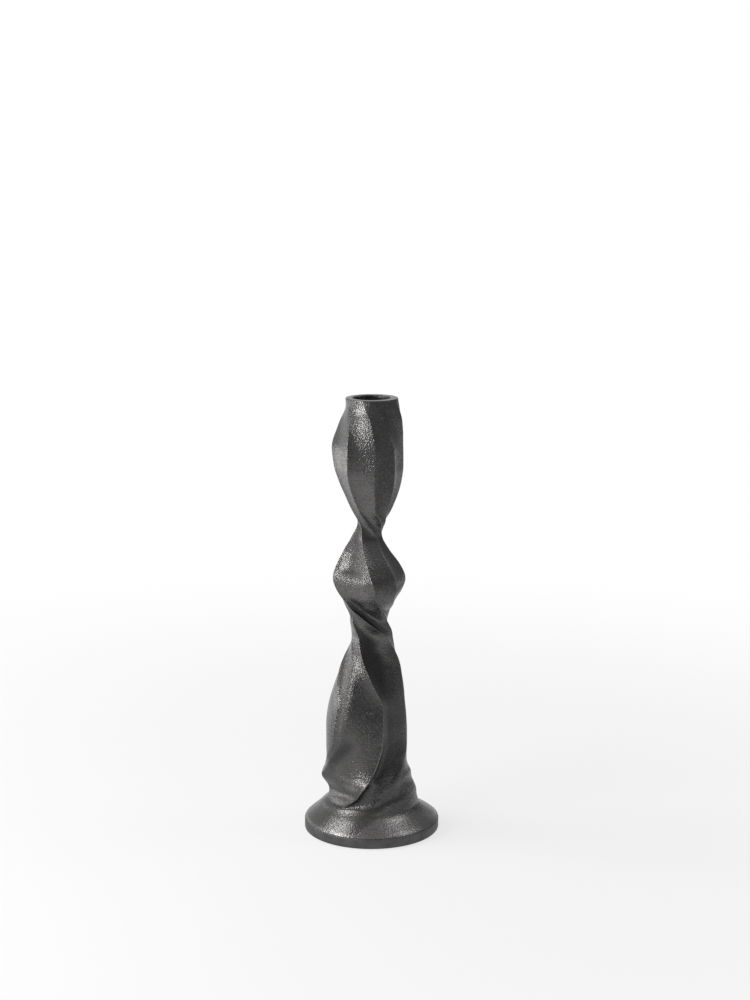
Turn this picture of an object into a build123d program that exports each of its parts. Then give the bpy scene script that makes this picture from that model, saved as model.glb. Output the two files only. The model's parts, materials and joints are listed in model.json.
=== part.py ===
"""Spiral candle holder: a fluted aluminium casting, wrung at two necks and screwed to a foot plate.

Millimetres, +Z up. The origin is on the table, under the middle of the foot, and -Y is the front.
"""

import os
from math import cos, radians, sin, tan

from build123d import *

# Widths over the ridges at the levels of the casting, from the foot up
foot_diameter = 84.0
crease_diameter = 54.8
hem_diameter = 56.6
drape_diameter = 50.8
shoulder_diameter = 38.6
neck_diameter = 24.8
knot_diameter = 45.8
waist_diameter = 16.6
bulb_diameter = 43.8
rim_diameter = 32.0

# Heights of the levels. The upper ones are drops from the rim, so that the bulb, the knot and the
# necks keep their sizes in a taller or shorter holder, and the drape takes up the difference.
total_height = 272.0
crease_height = 23.0
hem_height = 35.0
drape_share = 0.45
shoulder_drop = 168.0
neck_drop = 137.0
knot_drop = 111.5
waist_drop = 80.0
bulb_drop = 31.0
shoulder_height = total_height - shoulder_drop
drape_height = hem_height + drape_share * (shoulder_height - hem_height)

# The front fold is a lip that stands proud of the other ridges
fold_lip = 1.4

# The middle of the column sways to either side by shares of this length
column_sway = 1.0

# Candle socket, bored into the rim
socket_diameter = 22.0
socket_depth = 25.0
socket_lead_in = 0.6

# Cored hollow under the casting, which keeps the walls of the foot even
core_mouth_diameter = 60.0
core_mouth_depth = 4.0
core_knee_diameter = 34.0
core_knee_height = 24.0
core_top_diameter = 17.0
core_top_drop = 26.0
core_top_height = shoulder_height - core_top_drop

# Foot plate, with a spigot that centres it in the mouth of the core
plate_thickness = 6.3
plate_chamfer = 0.4
spigot_height = 2.0
spigot_clearance = 0.2

# Felt pad, glued into a recess under the plate and standing a little proud
pad_diameter = 70.0
pad_thickness = 2.0
pad_recess_depth = 1.7
pad_clearance = 0.3

# Countersunk screws that hold the plate, in bosses left standing in the core
screw_count = 3
screw_circle_diameter = 40.0
screw_diameter = 4.0
screw_length = 12.0
screw_head_diameter = 7.6
screw_hole_clearance = 0.2
screw_socket_width = 2.5
screw_socket_depth = 1.4
boss_diameter = 10.0
boss_gap = 0.2
thread_clearance = 0.05
thread_run_out = 3.0

# Heights and radii that follow from these
plate_bottom = pad_thickness - pad_recess_depth
plate_top = plate_bottom + plate_thickness
core_mouth_radius = core_mouth_diameter / 2
boss_bottom = plate_top + spigot_height + boss_gap
screw_head_height = (screw_head_diameter - screw_diameter) / 2

# The lines of the casting are written against its levels. A place of 2.25 on the column is
# a quarter of the way from level 2 up to level 3.
levels = [
    (plate_top, foot_diameter / 2),
    (crease_height, crease_diameter / 2),
    (hem_height, hem_diameter / 2),
    (drape_height, drape_diameter / 2),
    (shoulder_height, shoulder_diameter / 2),
    (total_height - neck_drop, neck_diameter / 2),
    (total_height - knot_drop, knot_diameter / 2),
    (total_height - waist_drop, waist_diameter / 2),
    (total_height - bulb_drop, bulb_diameter / 2),
    (total_height, rim_diameter / 2),
]

# Girth between the levels: at a place, the share of the way from the radius below to the one above
girth_shares = [
    (0.09, 0.12), (0.25, 0.36), (0.40, 0.58), (0.57, 0.77), (0.69, 0.86), (0.79, 0.95), (2.15, 0.69),
    (2.30, 0.95), (3.58, 0.42), (4.20, 0.29), (4.36, 0.58), (4.68, 0.95), (5.20, 0.08), (5.34, 0.26),
    (5.47, 0.44), (5.78, 0.85), (6.24, 0.17), (6.56, 0.59), (6.84, 0.93), (7.10, 0.12), (7.22, 0.30),
    (7.35, 0.50), (7.61, 0.83), (7.77, 0.955), (8.52, 0.42), (8.81, 0.86),
]

# Sway of the column's middle to the right, in column sways
sway_line = [
    (0, 0), (0.3, -1.0), (0.55, -1.3), (0.8, 0.5), (1.05, 0.8), (1.9, -3.2), (3.1, -3.3), (3.85, -1.5),
    (4.25, 0.1), (4.64, 0.5), (4.98, -1.9), (5.2, -2.0), (5.45, -1.0), (5.6, -1.2), (5.95, -1.5),
    (6.25, -2.3), (6.6, -3.3), (6.8, -2.9), (7.1, 0), (7.35, 0), (8.05, -2.4), (8.45, -0.6), (8.8, 0.9),
    (9, 0.2),
]

# Turn of the seven ridges round the column, in degrees to the right of the front.
# The first four columns run on round the back of the foot, and the last is the front fold.
ridge_turns = [
    (0.00, -20, 90, 148, 208, 242, 272, 300),
    (0.80, -4, 92, 150, 214, 246, 270, 322),
    (1.25, 10, 94, 152, 219, 250, 266, 340),
    (2.00, 38, 99, 157, 226, 257, 273, 360),
    (2.40, 73, 112, 177, 237, 284, 299, 375),
    (2.80, 88, 134, 191, 251, 307, 323, 383),
    (3.40, 88, 138, 195, 254, 311, 332, 385),
    (3.90, 84, 131, 185, 237, 286, 328, 363),
    (4.30, 71, 116, 167, 217, 259, 310, 339),
    (4.70, 40, 96, 138, 187, 229, 269, 319),
    (5.05, -10, 61, 99, 149, 192, 236, 305),
    (5.35, -54, 26, 69, 119, 164, 211, 280),
    (5.60, -71, 12, 52, 102, 145, 191, 251),
    (6.00, -80, 6, 46, 92, 132, 176, 234),
    (6.50, -78, -3, 42, 90, 126, 172, 224),
    (6.80, -86, -17, 40, 84, 115, 161, 213),
    (7.10, -116, -54, -17, 32, 62, 113, 167),
    (7.25, -131, -73, -37, 10, 47, 96, 150),
    (7.50, -138, -83, -42, 7, 48, 96, 149),
    (8.00, -141, -87, -34, 14, 48, 93, 148),
    (8.50, -149, -95, -43, 2, 25, 81, 141),
    (9.00, -160, -104, -62, -20, 6, 66, 128),
]
fold_ridge = len(ridge_turns[0]) - 2

# Hollow of a flute just after the ridge on its left and just before the ridge on its right:
# 0 bulges like a round bar, 1 is flat and more than 1 is scooped out. At the foot and the rim
# 0.01 leaves a corner too fine to see, so that every section has its seven ridges.
plain_flute = [
    (0, 0.01, 0.01), (0.75, 0.1, 0.1), (1.25, 1.2, 0.9), (2.1, 1.6, 1.2), (3.1, 1.5, 1.0), (3.6, 1.7, 1.2),
    (4.15, 1.9, 1.5), (5.1, 2.0, 1.6), (5.45, 0.9, 0.7), (5.75, 0.6, 0.4), (6.0, 1.0, 0.7),
    (6.2, 1.6, 1.0), (6.8, 1.9, 1.3), (7.1, 2.0, 1.4), (7.65, 1.7, 1.0), (8.15, 1.6, 1.0),
    (8.55, 1.1, 0.8), (8.8, 0.4, 0.3), (9, 0.01, 0.01),
]

# Flutes that differ from the plain one below the knot, by the ridge on their left
drape_flutes = {
    0: [
        (0, 0.01, 0.01), (0.75, 0.1, 0.1), (1.25, 0.7, 0.1), (1.9, 0.6, 0.1), (2.3, 0.1, 0.1),
        (2.7, 0.2, 0.4), (3.4, 0.7, 0.8), (4.15, 1.4, 1.0), (4.55, 2.2, 1.2), (5.0, 2.4, 0.9),
        (5.35, 2.0, 0.6), (5.65, 1.2, 0.5),
    ],
    3: [
        (0, 0.01, 0.01), (0.75, 0.1, 0.1), (1.25, 1.0, 0.9), (1.9, 1.2, 1.0), (2.25, 0.7, 0.6),
        (2.6, 0.1, 0.1), (3.2, 0.1, 0.1), (3.8, 0.5, 0.4), (4.15, 1.7, 1.4), (5.1, 2.0, 1.6),
        (5.45, 1.0, 0.8), (5.75, 0.6, 0.4),
    ],
    4: [
        (0, 0.01, 0.01), (0.75, 0.1, 0.1), (1.25, 0.6, 0.6), (2.1, 0.6, 0.6), (2.4, 1.2, 0.2),
        (2.75, 2.0, 0.1), (3.3, 2.2, 0.1), (3.8, 2.2, 0.3), (4.05, 2.0, 0.5), (4.5, 0.9, 0.6),
        (5.2, 1.0, 0.8),
    ],
    5: [
        (0, 0.01, 0.01), (0.75, 0.1, 0.1), (1.4, 1.1, 0.6), (1.9, 1.1, 0.6), (2.2, 0.8, 0.4),
        (2.5, 0.6, 0.4), (2.85, 0.5, 0.4), (3.25, 0.9, 0.6), (3.6, 1.4, 1.2), (3.85, 1.8, 1.6),
        (4.15, 1.8, 1.4), (4.45, 0.8, 0.6), (5.2, 0.5, 0.4), (5.6, 1.0, 0.7),
    ],
    6: [
        (0, 0.01, 0.01), (0.65, 0.1, 0.1), (0.8, 1.0, 0.2), (1.25, 2.6, 0.8), (1.9, 2.5, 0.7),
        (2.3, 2.2, 0.4), (2.75, 1.9, 0.4), (3.35, 1.6, 0.6), (3.8, 1.7, 0.7), (4.25, 2.0, 0.8),
        (4.9, 1.9, 1.0), (5.25, 1.2, 1.0), (5.6, 1.0, 0.8),
    ],
}
knot_place = len(levels) - 4

# Share of the fold's lip that stands at each place
lip_line = [(0, 0), (0.7, 0), (1.1, 0.85), (2, 1), (2.8, 0.6), (4.2, 0.4), (5.2, 0), (9, 0)]

sections_per_level = 10


def height_at(place):
    """Height above the table of a place on the column."""
    lower = min(int(place), len(levels) - 2)
    below, above = levels[lower][0], levels[lower + 1][0]
    return below + (place - lower) * (above - below)


def line(rows, column=1):
    """One column of a list of rows that start with a place, as points of height and value."""
    return [(height_at(row[0]), row[column]) for row in rows]


def slope(points, index):
    """Slope of a line at one of its points: level at the ends of its run and at every peak or dip."""
    if index in (0, len(points) - 1):
        return 0.0
    (z0, v0), (z1, v1), (z2, v2) = points[index - 1 : index + 2]
    rise_in = (v1 - v0) / (z1 - z0)
    rise_out = (v2 - v1) / (z2 - z1)
    return 2 * rise_in * rise_out / (rise_in + rise_out) if rise_in * rise_out > 0 else 0.0


def value_at(points, height):
    """Value at a height on the smooth line through the points, which never overshoots them."""
    index = max(i for i in range(len(points) - 1) if i == 0 or points[i][0] <= height)
    (z0, v0), (z1, v1) = points[index : index + 2]
    t = (height - z0) / (z1 - z0)
    bend = (z1 - z0) * t * (1 - t)
    ease = t * t * (3 - 2 * t)
    tangents = slope(points, index) * (1 - t) - slope(points, index + 1) * t
    return v0 + (v1 - v0) * ease + bend * tangents


def girth_points():
    """Radius over the ridges by height: the levels themselves and the shares between them."""
    points = list(levels)
    for place, share in girth_shares:
        lower = int(place)
        below, above = levels[lower][1], levels[lower + 1][1]
        points.append((height_at(place), below + share * (above - below)))
    return sorted(points)


def flute_rows(ridge):
    """Hollows of the flute on the right of a ridge, over the whole column."""
    if ridge not in drape_flutes:
        return plain_flute
    return drape_flutes[ridge] + [row for row in plain_flute if row[0] >= knot_place]


ridges = range(len(ridge_turns[0]) - 1)
girth = girth_points()
sway = line(sway_line)
lip = line(lip_line)
turns = [line(ridge_turns, column=ridge + 1) for ridge in ridges]
hollows_after = [line(flute_rows(ridge), column=1) for ridge in ridges]
hollows_before = [line(flute_rows(ridge), column=2) for ridge in ridges]


def outward(turn):
    """Unit vector from the middle of the column towards a turn."""
    return Vector(sin(radians(turn)), -cos(radians(turn)))


def along(turn):
    """Unit vector round the column, to the right, at a turn."""
    return Vector(cos(radians(turn)), sin(radians(turn)))


def flutes_at(height):
    """Control points of the curves from ridge to ridge, all the way round at a height."""
    middle = Vector(column_sway * value_at(sway, height), 0)
    radii = [value_at(girth, height) for _ in ridges]
    radii[fold_ridge] += fold_lip * value_at(lip, height)
    curves = []
    for left in ridges:
        right = (left + 1) % len(ridges)
        start = value_at(turns[left], height)
        span = (value_at(turns[right], height) - start) % 360
        ridge_left = middle + outward(start) * radii[left]
        ridge_right = middle + outward(start + span) * radii[right]
        arc_handle = 4 / 3 * tan(radians(span) / 4)
        round_left = ridge_left + along(start) * (arc_handle * radii[left])
        round_right = ridge_right - along(start + span) * (arc_handle * radii[right])
        chord = ridge_right - ridge_left
        flat_left = ridge_left + chord / 3
        flat_right = ridge_right - chord / 3
        after = value_at(hollows_after[left], height)
        before = value_at(hollows_before[left], height)
        handle_left = round_left + (flat_left - round_left) * after
        handle_right = round_right + (flat_right - round_right) * before
        curves.append((ridge_left, handle_left, handle_right, ridge_right))
    return curves


# Sand core: a stepped cone with a rounded top, notched where the screw bosses stand
with BuildPart() as core:
    with BuildSketch(Plane.XZ):
        with BuildLine():
            Polyline(
                (0, core_top_height + core_top_diameter / 2),
                (0, plate_top),
                (core_mouth_radius, plate_top),
                (core_mouth_radius, plate_top + core_mouth_depth),
                (core_knee_diameter / 2, core_knee_height),
                (core_top_diameter / 2, core_top_height),
            )
            CenterArc((0, core_top_height), core_top_diameter / 2, 0, 90)
        make_face()
    revolve(axis=Axis.Z)
    with BuildSketch(Plane.XY.offset(boss_bottom)):
        with PolarLocations(screw_circle_diameter / 2, screw_count):
            Circle(boss_diameter / 2)
    extrude(amount=core_top_height, mode=Mode.SUBTRACT)

# Casting: one loft through sections at every level and between them, then the socket, the core
# and the screw holes
with BuildPart() as twisted_casting:
    for step in range((len(levels) - 1) * sections_per_level + 1):
        section_height = height_at(step / sections_per_level)
        with BuildSketch(Plane.XY.offset(section_height)):
            with BuildLine():
                for controls in flutes_at(section_height):
                    Bezier(*controls)
            make_face()
    loft()
    with Locations((0, 0, total_height)):
        Hole(socket_diameter / 2, depth=socket_depth)
    rim_edges = twisted_casting.edges().filter_by(GeomType.CIRCLE).group_by(Axis.Z)[-1]
    chamfer(rim_edges, socket_lead_in)
    add(core.part, mode=Mode.SUBTRACT)
    with BuildSketch(Plane.XY.offset(boss_bottom)):
        with PolarLocations(screw_circle_diameter / 2, screw_count):
            Circle(screw_diameter / 2 + thread_clearance)
    extrude(amount=pad_thickness + screw_length + thread_run_out - boss_bottom, mode=Mode.SUBTRACT)

# Foot plate: a turned disc with its spigot on top, the felt's recess below and countersunk holes
with BuildPart() as foot_plate:
    with BuildSketch(Plane.XY.offset(plate_bottom)):
        Circle(foot_diameter / 2)
    extrude(amount=plate_thickness)
    chamfer(foot_plate.edges(), plate_chamfer)
    with BuildSketch(Plane.XY.offset(plate_top)):
        Circle(core_mouth_radius - spigot_clearance)
    extrude(amount=spigot_height)
    with BuildSketch(Plane.XY.offset(plate_bottom)):
        Circle(pad_diameter / 2 + pad_clearance)
    extrude(amount=pad_recess_depth, mode=Mode.SUBTRACT)
    with Locations(Location((0, 0, pad_thickness), (180, 0, 0))):
        with PolarLocations(screw_circle_diameter / 2, screw_count):
            CounterSinkHole(
                radius=screw_diameter / 2 + screw_hole_clearance,
                counter_sink_radius=screw_head_diameter / 2 + screw_hole_clearance,
                counter_sink_angle=90,
            )

# Screws: cone head with a hexagon socket, and a plain shank
with BuildPart() as foot_screws:
    with Locations((0, 0, pad_thickness)):
        with PolarLocations(screw_circle_diameter / 2, screw_count):
            Cone(
                screw_head_diameter / 2,
                screw_diameter / 2,
                screw_head_height,
                align=(Align.CENTER, Align.CENTER, Align.MIN),
            )
            Cylinder(screw_diameter / 2, screw_length, align=(Align.CENTER, Align.CENTER, Align.MIN))
    with BuildSketch(Plane.XY.offset(pad_thickness)):
        with PolarLocations(screw_circle_diameter / 2, screw_count):
            RegularPolygon(screw_socket_width / 2, 6, major_radius=False)
    extrude(amount=screw_socket_depth, mode=Mode.SUBTRACT)

# Felt pad, the face that the holder stands on
with BuildPart() as felt_pad:
    with BuildSketch():
        Circle(pad_diameter / 2)
    extrude(amount=pad_thickness)

os.makedirs("parts", exist_ok=True)
pieces = {
    "twisted_casting": twisted_casting,
    "foot_plate": foot_plate,
    "foot_screws": foot_screws,
    "felt_pad": felt_pad,
}
for name, piece in pieces.items():
    piece.part.label = name
    export_step(piece.part, f"parts/{name}.step")
    print(name, f"{piece.part.volume / 1000:.1f} cm3")
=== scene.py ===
# %% [markdown]
# # Dressing a twisted candle holder
# The real holder is one sand casting, wrung like a cloth at two necks, on a turned foot with felt under
# it. The CAD model has its true sizes. This lesson builds the skin that is seen, in metres and in the
# CAD model's own frame, so that nothing has to be fitted by eye.

# %% Load the packed part
import json
import math

import bpy
import numpy as np
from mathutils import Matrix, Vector, noise


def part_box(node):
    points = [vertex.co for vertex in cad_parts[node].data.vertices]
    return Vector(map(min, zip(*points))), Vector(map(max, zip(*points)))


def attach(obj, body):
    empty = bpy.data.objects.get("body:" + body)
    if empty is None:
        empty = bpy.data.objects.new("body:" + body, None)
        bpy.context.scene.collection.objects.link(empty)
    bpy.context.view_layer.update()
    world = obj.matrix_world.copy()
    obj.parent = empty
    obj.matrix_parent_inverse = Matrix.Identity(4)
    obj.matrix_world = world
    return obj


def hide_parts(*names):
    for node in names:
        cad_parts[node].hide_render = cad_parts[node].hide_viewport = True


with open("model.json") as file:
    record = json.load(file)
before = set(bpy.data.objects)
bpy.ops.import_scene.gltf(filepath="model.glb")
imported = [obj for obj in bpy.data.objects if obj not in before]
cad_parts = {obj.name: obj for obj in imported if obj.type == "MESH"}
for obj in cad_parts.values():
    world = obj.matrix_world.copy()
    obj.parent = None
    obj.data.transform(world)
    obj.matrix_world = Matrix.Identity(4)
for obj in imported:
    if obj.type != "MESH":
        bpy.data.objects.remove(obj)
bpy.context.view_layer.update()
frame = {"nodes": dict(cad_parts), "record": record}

MM = 0.001
scene = bpy.context.scene

# %% [markdown]
# ## Camera
# The rim, the bore and the foot are circles, and how flat they look in the photograph gives the height
# of the camera, its tilt and its distance. The focal length is in pixels of a picture 1000 pixels high.

# %% Camera
picture_height = 1000
focal_length = 1884.3
camera_tilt = 11.1
camera_place = (0.00213, -1.1275, 0.4302)
camera_data = bpy.data.cameras.new("photo_camera")
camera_data.sensor_width = 36
camera_data.lens = camera_data.sensor_width * focal_length / picture_height
camera = bpy.data.objects.new("photo_camera", camera_data)
scene.collection.objects.link(camera)
camera.location = camera_place
camera.rotation_euler = (math.radians(90 - camera_tilt), 0, 0)
scene.camera = camera
print(f"lens {camera_data.lens:.1f} mm, {camera_tilt} degrees down")

# %% [markdown]
# ## Shader expressions
# A material is a graph of nodes, and a long graph is hard to read. This small class wraps one socket, so
# that the maths of a finish can be written as a Python expression. Each operator adds its node, and every
# other kind of node comes from one method.

# %% The socket class
class Wire:
    """A socket in a node tree, which can be used in expressions."""

    def __init__(self, tree, socket=None):
        self.tree = tree
        self.socket = socket

    def node(self, kind, settings=None, sockets=None, output=0):
        """Adds a node: its settings first, then a value or a link for each socket that is named."""
        made = self.tree.nodes.new(kind)
        for name, value in (settings or {}).items():
            setattr(made, name, value)
        for name, value in (sockets or {}).items():
            if isinstance(value, Wire):
                self.tree.links.new(value.socket, made.inputs[name])
            else:
                made.inputs[name].default_value = value
        return Wire(self.tree, made.outputs[output])

    def join(self, operation, first, second):
        """Two values through a Math node, or through Vector Math where one is a vector or a colour."""
        wires = [x for x in (first, second) if isinstance(x, Wire)]
        if all(x.socket.type == "VALUE" for x in wires):
            return self.node("ShaderNodeMath", {"operation": operation}, {0: first, 1: second})
        sides = [x if isinstance(x, Wire) or hasattr(x, "__len__") else (x, x, x) for x in (first, second)]
        return self.node("ShaderNodeVectorMath", {"operation": operation}, {0: sides[0], 1: sides[1]})

    def __add__(self, other):
        return self.join("ADD", self, other)

    def __radd__(self, other):
        return self.join("ADD", other, self)

    def __sub__(self, other):
        return self.join("SUBTRACT", self, other)

    def __rsub__(self, other):
        return self.join("SUBTRACT", other, self)

    def __mul__(self, other):
        return self.join("MULTIPLY", self, other)

    def __rmul__(self, other):
        return self.join("MULTIPLY", other, self)

    def ramp(self, low, high):
        """0 below low, 1 above high, and a smooth rise between them."""
        settings = {"interpolation_type": "SMOOTHSTEP"}
        return self.node("ShaderNodeMapRange", settings, {"Value": self, "From Min": low, "From Max": high})

    def blend(self, first, second):
        """From the first colour where this value is 0 to the second where it is 1."""
        settings = {"data_type": "RGBA", "clamp_factor": True}
        return self.node("ShaderNodeMix", settings, {0: self, 6: first, 7: second}, output=2)


def grey(level, warmth=0.0):
    """A grey, a little towards red where it has warmth."""
    return (level * (1 + warmth), level, level * (1 - warmth / 3), 1.0)


print("operators:", [name for name in vars(Wire) if name.startswith("__")])

# %% A material to start from
def new_finish(name, **constants):
    """A material, its shader with these constants set, and the place on the object to start from."""
    material = bpy.data.materials.new(name)
    material.use_nodes = True
    shader = material.node_tree.nodes["Principled BSDF"]
    for socket, value in constants.items():
        shader.inputs[socket.replace("_", " ")].default_value = value
    return material, shader, Wire(material.node_tree).node("ShaderNodeTexCoord", output="Object")


def feed(shader, **wires):
    """Links each wire to the shader's socket of that name."""
    for socket, wire in wires.items():
        wire.tree.links.new(wire.socket, shader.inputs[socket.replace("_", " ")])


def mottle(place, scale, detail, **more):
    """Noise from 0 to 1 with about so many blobs to the metre, and finer ones inside them by detail."""
    sockets = {"Vector": place, "Scale": scale, "Detail": detail} | more
    return place.node("ShaderNodeTexNoise", sockets=sockets)


def roughened(height, strength, depth):
    """The surface's normal under a bump, whose depth is in metres."""
    sockets = {"Strength": strength, "Distance": depth, "Height": height}
    return height.node("ShaderNodeBump", sockets=sockets)


def add_piece(name, vertices, faces, materials):
    """A mesh object in the scene, smooth but for its sharp edges."""
    mesh = bpy.data.meshes.new(name)
    mesh.from_pydata(vertices, [], faces)
    mesh.validate()
    for material in materials:
        mesh.materials.append(material)
    mesh.shade_smooth()
    piece = bpy.data.objects.new(name, mesh)
    scene.collection.objects.link(piece)
    return piece


print("helpers: new_finish, feed, mottle, roughened, add_piece")

# %% [markdown]
# ## Studio
# The holder stands on a white sweep. The floor is lit like any floor and so keeps the shadow, but most of
# its whiteness is its own, because the picture's white has no end. Bare metal shows whatever stands round
# it: where a facet of the photograph is light or dark, that tells how light the room is on the side that
# the facet mirrors. So the sweep is white behind and on the left, a small bright window stands on the left
# towards the camera and a low wide panel farther back, two lamps hang high, and the room is dark on the
# right and on the camera's side. There, and in the holder's own shade, the floor fades out in the mirror
# of the metal, but for a pale strip of it farther to the right. To the camera itself the room is plain white.

# %% White of the floor
shade_share = 0.45
strip_share = 0.65
floor_finish, floor_shader, place = new_finish("white_sweep", Base_Color=grey(0.8), Roughness=0.9)
ray_kinds = ("Camera", "Glossy", "Transmission")
rays = [place.node("ShaderNodeLightPath", output=f"Is {kind} Ray") for kind in ray_kinds]
camera_ray, glossy_ray, clear_ray = rays
distance = place.node("ShaderNodeVectorMath", {"operation": "LENGTH"}, {0: place}, output="Value")
x, y = (place.node("ShaderNodeSeparateXYZ", sockets={0: place}, output=axis) for axis in "XY")
pale_strip = x.ramp(0.28, 0.42) - x.ramp(0.7, 0.85)
shade = shade_share - distance.ramp(0.05, 0.13) * shade_share
dark_side = (0.0 - y).ramp(0.2, 0.55) + x.ramp(0.05, 0.25) + shade - pale_strip * strip_share
own_white = 0.7 + distance.ramp(0.12, 0.75) * 0.3
lit = Wire(place.tree, floor_shader.outputs[0])
glow = place.node("ShaderNodeEmission", sockets={"Color": grey(1.0), "Strength": 1.0})
dusk = place.node("ShaderNodeEmission", sockets={"Color": grey(0.28), "Strength": 1.0})
share = (camera_ray + glossy_ray + clear_ray) * own_white
white = place.node("ShaderNodeMixShader", sockets={0: share, 1: lit, 2: glow})
seen = place.node("ShaderNodeMixShader", sockets={0: glossy_ray * dark_side, 1: white, 2: dusk})
place.tree.links.new(seen.socket, place.tree.nodes["Material Output"].inputs["Surface"])
print("floor finish:", len(floor_finish.node_tree.nodes), "nodes")

# %% Floor
floor_reach = 30.0
corners = [(-floor_reach, -floor_reach, 0), (floor_reach, -floor_reach, 0)]
corners += [(floor_reach, floor_reach, 0), (-floor_reach, floor_reach, 0)]
floor = add_piece("studio_floor", corners, [(0, 1, 2, 3)], [floor_finish])
print("floor", 2 * floor_reach, "m across")

# %% Room
room = bpy.data.worlds.new("studio_room")
room.use_nodes = True
scene.world = room
sky = Wire(room.node_tree)
direction = sky.node("ShaderNodeTexCoord", output="Generated")
x, y, z = (sky.node("ShaderNodeSeparateXYZ", sockets={0: direction}, output=axis) for axis in "XYZ")
left = (0.0 - x).ramp(0.25, 0.65)
back = y.ramp(0.76, 1.0)
light = 0.24 + left * 0.56 + back * 0.6 + z.ramp(0.5, 0.9) * 0.25
light = light + sky.node("ShaderNodeLightPath", output="Is Camera Ray")
shown = light.blend(grey(0.0), grey(1.0))
room.node_tree.links.new(shown.socket, room.node_tree.nodes["Background"].inputs["Color"])
print("room:", len(room.node_tree.nodes), "nodes")

# %% Lamps
def soft_light(name, place, aim, width, length, brightness):
    """A rectangular lamp that glows this brightly all over, with white as 1."""
    lamp = bpy.data.lights.new(name, "AREA")
    lamp.shape = "RECTANGLE"
    lamp.size = width
    lamp.size_y = length
    lamp.energy = brightness * math.pi * width * length
    light = bpy.data.objects.new(name, lamp)
    scene.collection.objects.link(light)
    light.visible_camera = False
    light.location = place
    light.rotation_euler = (Vector(aim) - Vector(place)).to_track_quat("-Z", "Y").to_euler()


soft_light("low_window", (-0.5, -0.33, 0.295), (0, 0, 0.17), 0.32, 0.08, 18.0)
soft_light("left_panel", (-0.56, 0.2, 0.09), (0, 0, 0.1), 0.45, 0.16, 2.5)
soft_light("high_left_lamp", (-0.6, 0.08, 0.95), (0, 0, 0.05), 0.3, 0.3, 10.0)
soft_light("high_right_lamp", (0.62, 0.05, 0.95), (0, 0, 0.05), 0.3, 0.3, 3.2)
scene.view_settings.view_transform = "Standard"

# %% [markdown]
# ## The lines of the casting
# A twisted form like this could be sculpted, or cut from a bar and turned with a modifier. But its folds
# don't turn evenly: they run straight up the bulb, turn hard at the necks and fall like cloth at the foot.
# So it is drawn as a pattern maker would, by lines: how far out the column reaches, where each of its seven
# ridges stands round it, and how hollow it is between them. Lines are written against levels of the
# column. A place of 2.25 is a quarter of the way from level 2 up to level 3.

# %% Levels and girth
skin_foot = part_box("twisted_casting")[0].z / MM
skin_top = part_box("twisted_casting")[1].z / MM
foot_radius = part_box("foot_plate")[1].x / MM
levels = [
    (skin_foot, foot_radius),
    (23.0, 27.4),
    (35.0, 28.3),
    (66.05, 25.4),
    (104.0, 19.3),
    (135.0, 12.4),
    (160.5, 22.9),
    (192.0, 8.3),
    (241.0, 21.9),
    (skin_top, 16.0),
]
girth_shares = [
    (0.09, 0.12), (0.25, 0.36), (0.40, 0.58), (0.57, 0.77), (0.69, 0.86), (0.79, 0.95), (2.15, 0.69),
    (2.30, 0.95), (3.58, 0.42), (4.20, 0.29), (4.36, 0.58), (4.68, 0.95), (5.20, 0.08), (5.34, 0.26),
    (5.47, 0.44), (5.78, 0.85), (6.24, 0.17), (6.56, 0.59), (6.84, 0.93), (7.10, 0.12), (7.22, 0.30),
    (7.35, 0.50), (7.61, 0.83), (7.77, 0.955), (8.52, 0.42), (8.81, 0.86),
]
sway_line = [
    (0, 0), (0.3, -1.0), (0.55, -1.3), (0.8, 0.5), (1.05, 0.8), (1.9, -3.2), (3.1, -3.3), (3.85, -1.5),
    (4.25, 0.1), (4.64, 0.5), (4.98, -1.9), (5.2, -2.0), (5.45, -1.0), (5.6, -1.2), (5.95, -1.5),
    (6.25, -2.3), (6.6, -3.3), (6.8, -2.9), (7.1, 0), (7.35, 0), (8.05, -2.4), (8.45, -0.6), (8.8, 0.9),
    (9, 0.2),
]
lip_line = [(0, 0), (0.7, 0), (1.1, 0.85), (2, 1), (2.8, 0.6), (4.2, 0.4), (5.2, 0), (9, 0)]
fold_lip = 1.4
print("skin from", round(skin_foot, 1), "to", round(skin_top, 1), "mm")

# %% Ridges and hollows
ridge_turns = [
    (0.00, -20, 90, 148, 208, 242, 272, 300),
    (0.80, -4, 92, 150, 214, 246, 270, 322),
    (1.25, 10, 94, 152, 219, 250, 266, 340),
    (2.00, 38, 99, 157, 226, 257, 273, 360),
    (2.40, 73, 112, 177, 237, 284, 299, 375),
    (2.80, 88, 134, 191, 251, 307, 323, 383),
    (3.40, 88, 138, 195, 254, 311, 332, 385),
    (3.90, 84, 131, 185, 237, 286, 328, 363),
    (4.30, 71, 116, 167, 217, 259, 310, 339),
    (4.70, 40, 96, 138, 187, 229, 269, 319),
    (5.05, -10, 61, 99, 149, 192, 236, 305),
    (5.35, -54, 26, 69, 119, 164, 211, 280),
    (5.60, -71, 12, 52, 102, 145, 191, 251),
    (6.00, -80, 6, 46, 92, 132, 176, 234),
    (6.50, -78, -3, 42, 90, 126, 172, 224),
    (6.80, -86, -17, 40, 84, 115, 161, 213),
    (7.10, -116, -54, -17, 32, 62, 113, 167),
    (7.25, -131, -73, -37, 10, 47, 96, 150),
    (7.50, -138, -83, -42, 7, 48, 96, 149),
    (8.00, -141, -87, -34, 14, 48, 93, 148),
    (8.50, -149, -95, -43, 2, 25, 81, 141),
    (9.00, -160, -104, -62, -20, 6, 66, 128),
]
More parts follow.
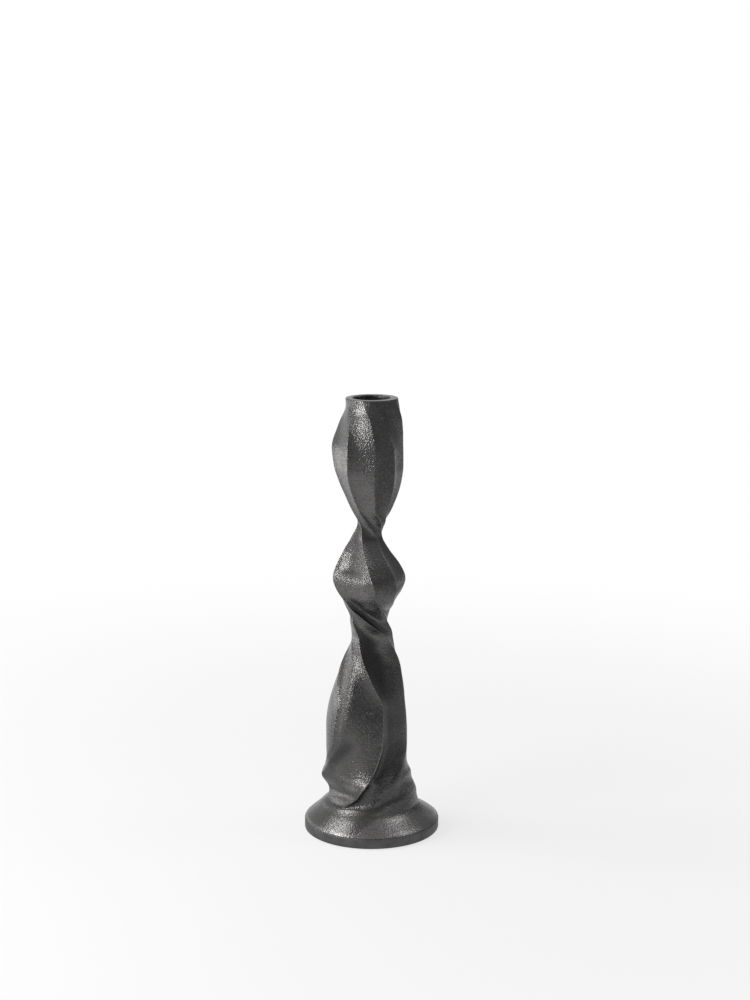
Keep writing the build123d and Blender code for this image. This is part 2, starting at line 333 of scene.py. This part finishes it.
plain_flute = [
    (0, 0.01, 0.01), (0.75, 0.1, 0.1), (1.25, 1.2, 0.9), (2.1, 1.6, 1.2), (3.1, 1.5, 1.0), (3.6, 1.7, 1.2),
    (4.15, 1.9, 1.5), (5.1, 2.0, 1.6), (5.45, 0.9, 0.7), (5.75, 0.6, 0.4), (6.0, 1.0, 0.7),
    (6.2, 1.6, 1.0), (6.8, 1.9, 1.3), (7.1, 2.0, 1.4), (7.65, 1.7, 1.0), (8.15, 1.6, 1.0),
    (8.55, 1.1, 0.8), (8.8, 0.4, 0.3), (9, 0.01, 0.01),
]
drape_flutes = {
    0: [
        (0, 0.01, 0.01), (0.75, 0.1, 0.1), (1.25, 0.7, 0.1), (1.9, 0.6, 0.1), (2.3, 0.1, 0.1),
        (2.7, 0.2, 0.4), (3.4, 0.7, 0.8), (4.15, 1.4, 1.0), (4.55, 2.2, 1.2), (5.0, 2.4, 0.9),
        (5.35, 2.0, 0.6), (5.65, 1.2, 0.5),
    ],
    3: [
        (0, 0.01, 0.01), (0.75, 0.1, 0.1), (1.25, 1.0, 0.9), (1.9, 1.2, 1.0), (2.25, 0.7, 0.6),
        (2.6, 0.1, 0.1), (3.2, 0.1, 0.1), (3.8, 0.5, 0.4), (4.15, 1.7, 1.4), (5.1, 2.0, 1.6),
        (5.45, 1.0, 0.8), (5.75, 0.6, 0.4),
    ],
    4: [
        (0, 0.01, 0.01), (0.75, 0.1, 0.1), (1.25, 0.6, 0.6), (2.1, 0.6, 0.6), (2.4, 1.2, 0.2),
        (2.75, 2.0, 0.1), (3.3, 2.2, 0.1), (3.8, 2.2, 0.3), (4.05, 2.0, 0.5), (4.5, 0.9, 0.6),
        (5.2, 1.0, 0.8),
    ],
    5: [
        (0, 0.01, 0.01), (0.75, 0.1, 0.1), (1.4, 1.1, 0.6), (1.9, 1.1, 0.6), (2.2, 0.8, 0.4),
        (2.5, 0.6, 0.4), (2.85, 0.5, 0.4), (3.25, 0.9, 0.6), (3.6, 1.4, 1.2), (3.85, 1.8, 1.6),
        (4.15, 1.8, 1.4), (4.45, 0.8, 0.6), (5.2, 0.5, 0.4), (5.6, 1.0, 0.7),
    ],
    6: [
        (0, 0.01, 0.01), (0.65, 0.1, 0.1), (0.8, 1.0, 0.2), (1.25, 2.6, 0.8), (1.9, 2.5, 0.7),
        (2.3, 2.2, 0.4), (2.75, 1.9, 0.4), (3.35, 1.6, 0.6), (3.8, 1.7, 0.7), (4.25, 2.0, 0.8),
        (4.9, 1.9, 1.0), (5.25, 1.2, 1.0), (5.6, 1.0, 0.8),
    ],
}
fold_ridge = 6
knot_place = 6
ridge_count = len(ridge_turns[0]) - 1
print(ridge_count, "ridges")

# %% [markdown]
# ## From lines to a skin
# Each line becomes a smooth curve that never overshoots its points. At every height the flutes between
# the ridges are Bezier curves, so the skin is a regular grid of rings and columns. The columns follow the
# ridges, which keeps a ridge one clean line of edges however it turns.

# %% Smooth lines
def height_at(place):
    """Height of a place on the column."""
    lower = min(int(place), len(levels) - 2)
    below, above = levels[lower][0], levels[lower + 1][0]
    return below + (place - lower) * (above - below)


def smooth_line(points):
    """A function of height: the smooth line through points, level at every peak and dip."""
    z, v = np.array(sorted(points), float).T
    rise = np.diff(v) / np.diff(z)
    before, after = rise[:-1], rise[1:]
    same_way = before * after > 0
    slope = np.zeros_like(v)
    slope[1:-1][same_way] = (2 * before * after)[same_way] / (before + after)[same_way]

    def value_at(heights):
        i = np.clip(np.searchsorted(z, heights, side="right") - 1, 0, len(z) - 2)
        step = z[i + 1] - z[i]
        t = (heights - z[i]) / step
        tangents = slope[i] * (1 - t) - slope[i + 1] * t
        return v[i] + (v[i + 1] - v[i]) * t * t * (3 - 2 * t) + step * t * (1 - t) * tangents

    return value_at


def column_line(rows, column=1):
    """The smooth line of one column of rows that start with a place."""
    return smooth_line([(height_at(row[0]), row[column]) for row in rows])


girth_points = list(levels)
for place, share in girth_shares:
    below, above = levels[int(place)][1], levels[int(place) + 1][1]
    girth_points.append((height_at(place), below + share * (above - below)))
girth = smooth_line(girth_points)
print("girth at the knot:", round(float(girth(height_at(knot_place))), 2), "mm")

# %% Rings of the skin
edge_round = 0.5
ring_gap = 0.6
flute_steps = 28
ridge_crowding = 0.6
edge_steps = np.array([0.0, 0.05, 0.12, 0.22, 0.35, edge_round])
ring_total = round((skin_top - skin_foot - 2 * edge_round) / ring_gap)
middle_rings = np.linspace(skin_foot + edge_round, skin_top - edge_round, ring_total)[1:-1]
heights = np.concatenate([skin_foot + edge_steps, middle_rings, skin_top - edge_steps[::-1]])


def flute_rows(ridge):
    """Hollows of the flute on the right of a ridge, over the whole column."""
    if ridge not in drape_flutes:
        return plain_flute
    return drape_flutes[ridge] + [row for row in plain_flute if row[0] >= knot_place]


def round_column(turn):
    """Unit vectors out from the column and round it to the right, at a turn in degrees."""
    angle = np.radians(turn)
    out = np.stack([np.sin(angle), -np.cos(angle)], axis=-1)
    return out, np.stack([np.cos(angle), np.sin(angle)], axis=-1)


def flute(left):
    """Points of one flute at every height, from its left ridge to just before its right one."""
    right = (left + 1) % ridge_count
    start = column_line(ridge_turns, left + 1)(heights)
    span = (column_line(ridge_turns, right + 1)(heights) - start) % 360
    reach = [girth(heights) + fold_lip * lip * (ridge == fold_ridge) for ridge in (left, right)]
    arc = (4 / 3 * np.tan(np.radians(span) / 4))[:, None]
    out_left, round_left = round_column(start)
    out_right, round_right = round_column(start + span)
    first = middle + out_left * reach[0][:, None]
    last = middle + out_right * reach[1][:, None]
    third = (last - first) / 3
    after = column_line(flute_rows(left), 1)(heights)[:, None]
    before = column_line(flute_rows(left), 2)(heights)[:, None]
    handle_left = first + round_left * arc * reach[0][:, None] * (1 - after) + third * after
    handle_right = last - round_right * arc * reach[1][:, None] * (1 - before) - third * before
    s = np.arange(flute_steps) / flute_steps
    t = (s - ridge_crowding * np.sin(2 * np.pi * s) / (2 * np.pi))[None, :, None]
    controls = [p[:, None] for p in (first, handle_left, handle_right, last)]
    shares = [(1 - t) ** 3, 3 * t * (1 - t) ** 2, 3 * t * t * (1 - t), t**3]
    return sum(share * point for share, point in zip(shares, controls))


lip = column_line(lip_line)(heights)
middle = np.stack([column_line(sway_line)(heights), np.zeros_like(heights)], axis=-1)
skin = np.concatenate([flute(ridge) for ridge in range(ridge_count)], axis=1)
print("skin grid:", skin.shape[0], "rings of", skin.shape[1], "points")

# %% [markdown]
# ## What the foundry adds
# A casting has no sharp edge: its ridges are rounded where the sand gave way and where they were rubbed.
# Blurring the grid a little rounds them by about as much as the real ones. The difference between the
# skin and a stronger blur says how far each point stands proud, which the finish uses later for wear, and
# for painted shade in creases and hollows.

# %% Rounded ridges and relief
def blurred(grid, rounds, sideways=0.125, upright=0.125):
    """The grid with each point drawn towards its four neighbours, once for each round."""
    for _ in range(rounds):
        above = np.concatenate([grid[1:], grid[-1:]])
        below = np.concatenate([grid[:1], grid[:-1]])
        sides = np.roll(grid, 1, axis=1) + np.roll(grid, -1, axis=1)
        kept = 1 - 2 * upright - 2 * sideways
        grid = grid * kept + (above + below) * upright + sides * sideways
    return grid


def outward(grid):
    """Unit vectors out of each ring, level with it."""
    tangent = np.roll(grid, -1, axis=1) - np.roll(grid, 1, axis=1)
    normal = np.stack([tangent[..., 1], -tangent[..., 0]], axis=-1)
    return normal / np.linalg.norm(normal, axis=-1, keepdims=True)


fade_height = 6.0


def near_ridge(ridge, low, high, columns):
    """1 at a ridge between two places on the column, and fading to 0 round and beyond them."""
    steps = np.arange(skin.shape[1]) - ridge * flute_steps
    steps = (steps + skin.shape[1] // 2) % skin.shape[1] - skin.shape[1] // 2
    low, high = height_at(low), height_at(high)
    rise = np.clip(np.minimum(heights - low, high - heights) / fade_height, 0, 1)
    return (rise * rise * (3 - 2 * rise))[:, None] * np.exp(-((steps / columns) ** 2))[None, :]


belt_reach = 6.0
soft_columns = 12
blur_rounds = {"all ridges": 8, "soft ridges": 140, "belt": 45, "relief": 60, "crest": 6}
skin = blurred(skin, blur_rounds["all ridges"])
soft = near_ridge(5, 2.0, 4.3, soft_columns) + near_ridge(0, 0.9, 2.5, soft_columns)
skin = skin + (blurred(skin, blur_rounds["soft ridges"]) - skin) * soft[..., None]
belt = np.exp(-(((heights - height_at(knot_place)) / belt_reach) ** 2))[:, None, None]
skin = skin + (blurred(skin, blur_rounds["belt"], sideways=0.01) - skin) * belt
relief = ((skin - blurred(skin, blur_rounds["relief"])) * outward(skin)).sum(-1)
crest = ((skin - blurred(skin, blur_rounds["crest"])) * outward(skin)).sum(-1)
print("relief from", round(relief.min(), 2), "to", round(relief.max(), 2), "mm")
print("crest from", round(crest.min(), 3), "to", round(crest.max(), 3), "mm")

# %% [markdown]
# ## Strokes and lumps
# The pattern for the mould looks worked by hand, with a few shallow marks: a dimple and a pull-in on the hem,
# and two filled troughs at the lower neck. They could be sculpted, but a stroke from one point of the skin to
# another, with a width and a depth, can be read and changed. A depth below zero is pressed in. Low lumps all
# over come from a smooth noise, and the edges at the foot and the rim are rounded off last.

# %% Strokes of the modeller
points = np.concatenate([skin, np.broadcast_to(heights[:, None, None], skin.shape[:2] + (1,))], axis=-1)
strokes = [
    ((-60, 46), (-36, 56), 5.0, -1.8),
    ((-28, 31), (-8, 31), 8.0, -1.0),
    ((28, 118), (52, 114), 6.0, 1.1),
    ((-40, 150), (30, 138), 4.5, 0.9),
]


def skin_point(turn, height):
    """The point of the skin at a turn in degrees and a height in millimetres."""
    ring = points[np.abs(heights - height).argmin()]
    away = np.degrees(np.arctan2(ring[:, 0], -ring[:, 1])) - turn
    return ring[np.abs((away + 180) % 360 - 180).argmin()]


press = np.zeros(skin.shape[:2])
for start, end, width, depth in strokes:
    tail, head = skin_point(*start), skin_point(*end)
    share = np.clip(((points - tail) @ (head - tail)) / ((head - tail) @ (head - tail)), 0, 1)
    apart = np.linalg.norm(points - (tail + share[..., None] * (head - tail)), axis=-1)
    press += depth * np.exp(-((apart / width) ** 2))
points[..., :2] += outward(skin) * press[..., None]
# Pressed-in marks count as hollows, which the finish darkens with painted shade.
relief += np.minimum(press, 0)
print(len(strokes), "strokes, from", round(press.min(), 2), "to", round(press.max(), 2), "mm")

# %% Lumps and rounded edges
lump_size = 9.0
lump_height = 0.12
lumps = [noise.noise(Vector(p) / lump_size) for p in points.reshape(-1, 3)]
points[..., :2] += outward(skin) * (np.array(lumps).reshape(skin.shape[:2])[..., None] * lump_height)
inset = np.maximum(edge_round - np.minimum(heights - skin_foot, skin_top - heights), 0)
inset = edge_round - np.sqrt(edge_round**2 - inset**2)
points[..., :2] -= outward(skin) * inset[:, None, None]
print("lumps up to", round(max(lumps) * lump_height, 3), "mm")

# %% [markdown]
# ## Rim, socket and core
# The rim is turned flat, the socket is bored for the candle, and a sand core leaves the foot hollow. Each
# could be cut with a boolean. Here rings of points carry on from the skin's columns instead, in at the rim,
# down the bore and up the core, so the casting stays one closed mesh, all quads but for its two tips.

# %% Rim, socket and core
socket_radius = frame["record"]["mounts"][0]["dims"]["r_mm"]
socket_depth = 25.0
socket_floor = skin_top - socket_depth
seat_radius = 36.0
core_mouth_radius = 30.0
core_mouth_depth = 4.0
core_knee = (17.0, 24.0)
core_top_radius = 8.5
core_top_height = 78.0
core_tip_height = core_top_height + core_top_radius
rim_turns = np.arctan2(points[-1, :, 0], -points[-1, :, 1])


def circles(profile):
    """A ring of points for each radius and height of a profile, in step with the skin's columns."""
    rows = [(r * np.sin(rim_turns), -r * np.cos(rim_turns), np.full_like(rim_turns, z)) for r, z in profile]
    return np.stack(rows).transpose(0, 2, 1)


rim_radii = (14.6, 13.4, 12.2, socket_radius + 0.65)
rim = circles([(r, skin_top) for r in rim_radii])
lead_in = [(socket_radius + 0.5, skin_top - 0.06), (socket_radius + 0.1, skin_top - 0.5)]
wall = [(socket_radius, z) for z in np.linspace(skin_top - 0.8, socket_floor + 0.8, 14)]
floor_round = [(socket_radius - 0.25, socket_floor + 0.25), (socket_radius - 0.8, socket_floor)]
bore = circles(lead_in + wall + floor_round + [(r, socket_floor) for r in (8, 5, 2)])
dome_angles = np.radians((75, 60, 45, 30, 15, 0))
dome = [(core_top_radius * math.cos(a), core_top_height + core_top_radius * math.sin(a)) for a in dome_angles]
mouth = [(core_mouth_radius, skin_foot + core_mouth_depth), (core_mouth_radius, skin_foot)]
core = circles([(1.0, core_tip_height)] + dome + [core_knee] + mouth + [(seat_radius, skin_foot)])
shell = np.concatenate([core, points, rim, bore])
print("shell:", len(core), "core,", len(points), "skin,", len(rim), "rim and", len(bore), "bore rings")

# %% One closed mesh
def closed_mesh(rings, first_tip, last_tip):
    """Points in metres and faces from rings in millimetres, closed by a fan to the axis at each end."""
    count, size = rings.shape[:2]
    index = np.arange(count * size).reshape(count, size)
    ahead = np.roll(index, -1, axis=1)
    faces = np.stack([index[:-1], ahead[:-1], ahead[1:], index[1:]], axis=-1).reshape(-1, 4).tolist()
    faces += [(count * size, b, a) for a, b in zip(index[0].tolist(), ahead[0].tolist())]
    faces += [(a, b, count * size + 1) for a, b in zip(index[-1].tolist(), ahead[-1].tolist())]
    tips = [(0, 0, first_tip), (0, 0, last_tip)]
    return np.concatenate([rings.reshape(-1, 3), tips]) * MM, faces


vertices, faces = closed_mesh(shell, core_tip_height, socket_floor)
print(len(vertices), "points and", len(faces), "faces")

# %% [markdown]
# ## Blackened casting
# The metal is aluminium, cast in sand and blackened. The black lies in patches and is thinner on what stands
# proud. Creases and deep hollows are darkened as painted shade, and low down the colour is darkened a little
# as painted shade too, for the floor in the holder's own shade that the lower part mirrors. Hands and cloths
# rub the black off what stands proud, and the crests of the ridges are worn lighter still. A painted map
# could say where, but the relief that was measured on the skin says it too and follows every change of shape.
# Sand leaves a fine worm-like grain that sparkles where the light strikes it. It is far finer than the mesh,
# so it is a bump in the finish and a little of its colour.

# %% Casting colour
cast_finish, cast_shader, place = new_finish("blackened_casting", Metallic=0.85)
cast_warmth = 0.03
proud = place.node("ShaderNodeAttribute", {"attribute_name": "relief"}, output="Fac")
sharp = place.node("ShaderNodeAttribute", {"attribute_name": "crest"}, output="Fac")
up = place.node("ShaderNodeSeparateXYZ", sockets={0: place}, output="Z")
patches = mottle(place, 55.0, 3.0)
rubbed = (proud + (patches - 0.5) * 0.6).ramp(0.3, 1.6)
black = (patches - proud * 0.15).ramp(0.3, 0.75)
worn = (sharp + (patches - 0.5) * 0.06).ramp(0.035, 0.11)
# Painted shade: creases and deep hollows are coloured darker, where shade falls.
crease_shade = (0.0 - sharp).ramp(0.015, 0.06)
hollow_shade = (0.0 - proud).ramp(0.9, 2.4)
metal = black.blend(grey(0.12, cast_warmth), grey(0.1, cast_warmth))
metal = rubbed.blend(metal, grey(0.145, cast_warmth))
metal = worn.blend(metal, grey(0.22, cast_warmth))
metal = crease_shade.blend(metal, grey(0.07, cast_warmth))
metal = hollow_shade.blend(metal, grey(0.07, cast_warmth))
# Painted shade: the colour is darkened a little low down, where the metal mirrors the floor in the holder's
# own shade.
metal = metal * (0.8 + up.ramp(0.09, 0.14) * 0.22)
print("casting colour:", len(cast_finish.node_tree.nodes), "nodes")

# %% Casting grain
worms = mottle(place, 850.0, 1.0, Distortion=0.4)
sand = mottle(place, 1500.0, 2.0)
smooth_foot = 0.5 + up.ramp(0.014, 0.026) * 0.5
coarse = (0.4 + (proud + (patches - 0.5) * 2.0).ramp(-0.6, 0.8) * 0.6) * smooth_foot
grain = (worms * 0.6 + sand * 0.4 - 0.5) * coarse
feed(cast_shader, Base_Color=metal * (1.0 + grain * 2.4))
feed(cast_shader, Roughness=0.26 + (sand - 0.5) * 0.2 - rubbed * 0.04)
feed(cast_shader, Normal=roughened((worms * 0.65 + sand * 0.35) * coarse, 1.0, 0.00055))
print("casting finish:", len(cast_finish.node_tree.nodes), "nodes")

# %% [markdown]
# ## Rim and bore
# The rim looks faced on a lathe, which leaves fine rings and a brighter metal. A noise of one dimension, fed
# with the distance from the axis, draws such rings without a texture. The bore is left rough and dark.

# %% Rim and bore finishes
rim_finish, rim_shader, place = new_finish("turned_rim", Metallic=1.0)
flat = place.node("ShaderNodeVectorMath", {"operation": "MULTIPLY"}, {0: place, 1: (1.0, 1.0, 0.0)})
radius = place.node("ShaderNodeVectorMath", {"operation": "LENGTH"}, {0: flat}, output="Value")
scratch = place.node("ShaderNodeTexNoise", {"noise_dimensions": "1D"}, {"W": radius, "Scale": 3500.0})
blotch = mottle(place, 260.0, 2.0)
feed(rim_shader, Base_Color=blotch.ramp(0.3, 0.7).blend(grey(0.2), grey(0.3)))
feed(rim_shader, Roughness=0.3 + scratch * 0.15)
feed(rim_shader, Normal=roughened(scratch, 0.3, 0.0001))

bore_finish, bore_shader, place = new_finish("cast_bore", Metallic=1.0)
pits = mottle(place, 420.0, 3.0)
feed(bore_shader, Base_Color=pits.ramp(0.35, 0.7).blend(grey(0.05), grey(0.17)))
feed(bore_shader, Roughness=0.5 - (pits - 0.5) * 0.3)
feed(bore_shader, Normal=roughened(pits, 0.8, 0.0012))
print("rim and bore finishes made")

# %% The casting itself
casting = add_piece("casting_skin", vertices.tolist(), faces, [cast_finish, rim_finish, bore_finish])
ring_size = shell.shape[1]
ring_of_face = np.repeat(np.arange(len(shell) - 1), ring_size)
first_rim = len(core) + len(points) - 1
first_bore = first_rim + len(rim)
slots = np.where(ring_of_face < first_rim, 0, np.where(ring_of_face < first_bore, 1, 2))
slots = np.concatenate([slots, np.zeros(ring_size), np.full(ring_size, 2)])
casting.data.polygons.foreach_set("material_index", slots.astype(np.int32))
casting.data.set_sharp_from_angle(angle=math.radians(40))
first_skin = len(core) * ring_size
for name, grid in (("relief", relief), ("crest", crest)):
    values = np.zeros(len(vertices), np.float32)
    values[first_skin : first_skin + grid.size] = grid.ravel()
    casting.data.attributes.new(name, "FLOAT", "POINT").data.foreach_set("value", values)
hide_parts("twisted_casting")
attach(casting, "root")
print("casting:", len(casting.data.polygons), "faces")

# %% [markdown]
# ## Foot plate and felt
# The plain band under the skirt is the rim of a turned plate. It is a profile spun round the axis, with
# the small chamfers that leave a dark line under the skirt. Blender's Screw modifier could spin it, but a
# short function closes it at the axis as well. The felt under it barely shows. It hides the holes for the
# screws, so they are left out here.

# %% Spinning a profile
def spun(name, profile, finish, steps=192):
    """A closed turned piece from a profile of radii and heights in millimetres that starts and ends at 0."""
    turns = np.arange(steps) * 2 * np.pi / steps
    rings = [(r * np.cos(turns), r * np.sin(turns), np.full(steps, float(z))) for r, z in profile[1:-1]]
    body = np.stack(rings).transpose(0, 2, 1)
    vertices, faces = closed_mesh(body, profile[0][1], profile[-1][1])
    piece = add_piece(name, vertices.tolist(), faces, [finish])
    piece.data.set_sharp_from_angle(angle=math.radians(35))
    return piece


plate_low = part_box("foot_plate")[0].z / MM
spigot_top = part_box("foot_plate")[1].z / MM
print("plate from", round(plate_low, 2), "to", round(spigot_top, 2), "mm")

# %% Foot plate
plate_finish, plate_shader, place = new_finish("blackened_plate", Metallic=1.0)
blotch = mottle(place, 120.0, 3.0)
sand = mottle(place, 1200.0, 2.0)
feed(plate_shader, Base_Color=blotch.ramp(0.3, 0.7).blend(grey(0.15), grey(0.11)))
feed(plate_shader, Roughness=0.45 + (sand - 0.5) * 0.2)
feed(plate_shader, Normal=roughened(blotch * 0.6 + sand * 0.4, 0.35, 0.0005))

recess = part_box("felt_pad")[1].z / MM
recess_radius = 35.3
spigot_clearance = 0.2
spigot_radius = core_mouth_radius - spigot_clearance
low_edge = [(0.6, 0.0), (0.35, 0.06), (0.1, 0.3), (0.0, 0.6)]
high_edge = [(0.0, 0.5), (0.1, 0.2), (0.4, 0.0)]
plate_profile = [(0, recess), (recess_radius, recess), (recess_radius, plate_low)]
plate_profile += [(foot_radius - inset, plate_low + rise) for inset, rise in low_edge]
plate_profile += [(foot_radius, 3.0), (foot_radius, 5.0)]
plate_profile += [(foot_radius - inset, skin_foot - drop) for inset, drop in high_edge]
plate_profile += [(spigot_radius, skin_foot), (spigot_radius, spigot_top), (0, spigot_top)]
plate = spun("foot_band", plate_profile, plate_finish)
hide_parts("foot_plate")
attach(plate, "root")
print("foot band:", len(plate.data.polygons), "faces")

# %% Felt pad
felt_finish, felt_shader, place = new_finish("black_felt", Roughness=0.95, Specular_IOR_Level=0.2)
fibres = mottle(place, 900.0, 6.0)
feed(felt_shader, Base_Color=fibres.ramp(0.3, 0.7).blend(grey(0.012), grey(0.05)))
feed(felt_shader, Normal=roughened(fibres, 0.8, 0.0004))
felt_width = 0.07
felt_radius = felt_width / MM / 2
felt_edge = [(0.8, 0.0), (0.2, 0.2), (0.0, 0.6), (0.0, 1.4), (0.1, recess)]
felt_profile = [(0, 0), (20, 0)] + [(felt_radius - inset, z) for inset, z in felt_edge] + [(0, recess)]
felt = spun("felt_disc", felt_profile, felt_finish)
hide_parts("felt_pad")
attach(felt, "root")
print("felt disc:", len(felt.data.polygons), "faces")

# %% [markdown]
# ## Screws
# Three plated screws hold the plate from below, and the felt hides them. So the CAD model's own screws stay
# as they are and only get a finish.

# %% Screws
screw_finish, screw_shader, place = new_finish("plated_screw", Metallic=1.0)
plating = mottle(place, 400.0, 2.0)
feed(screw_shader, Base_Color=plating.ramp(0.3, 0.7).blend(grey(0.45), grey(0.56)))
feed(screw_shader, Roughness=0.25 + plating * 0.2)
screws = frame["nodes"]["foot_screws"]
screws.data.materials.clear()
screws.data.materials.append(screw_finish)
print("screws dressed")

# %% [markdown]
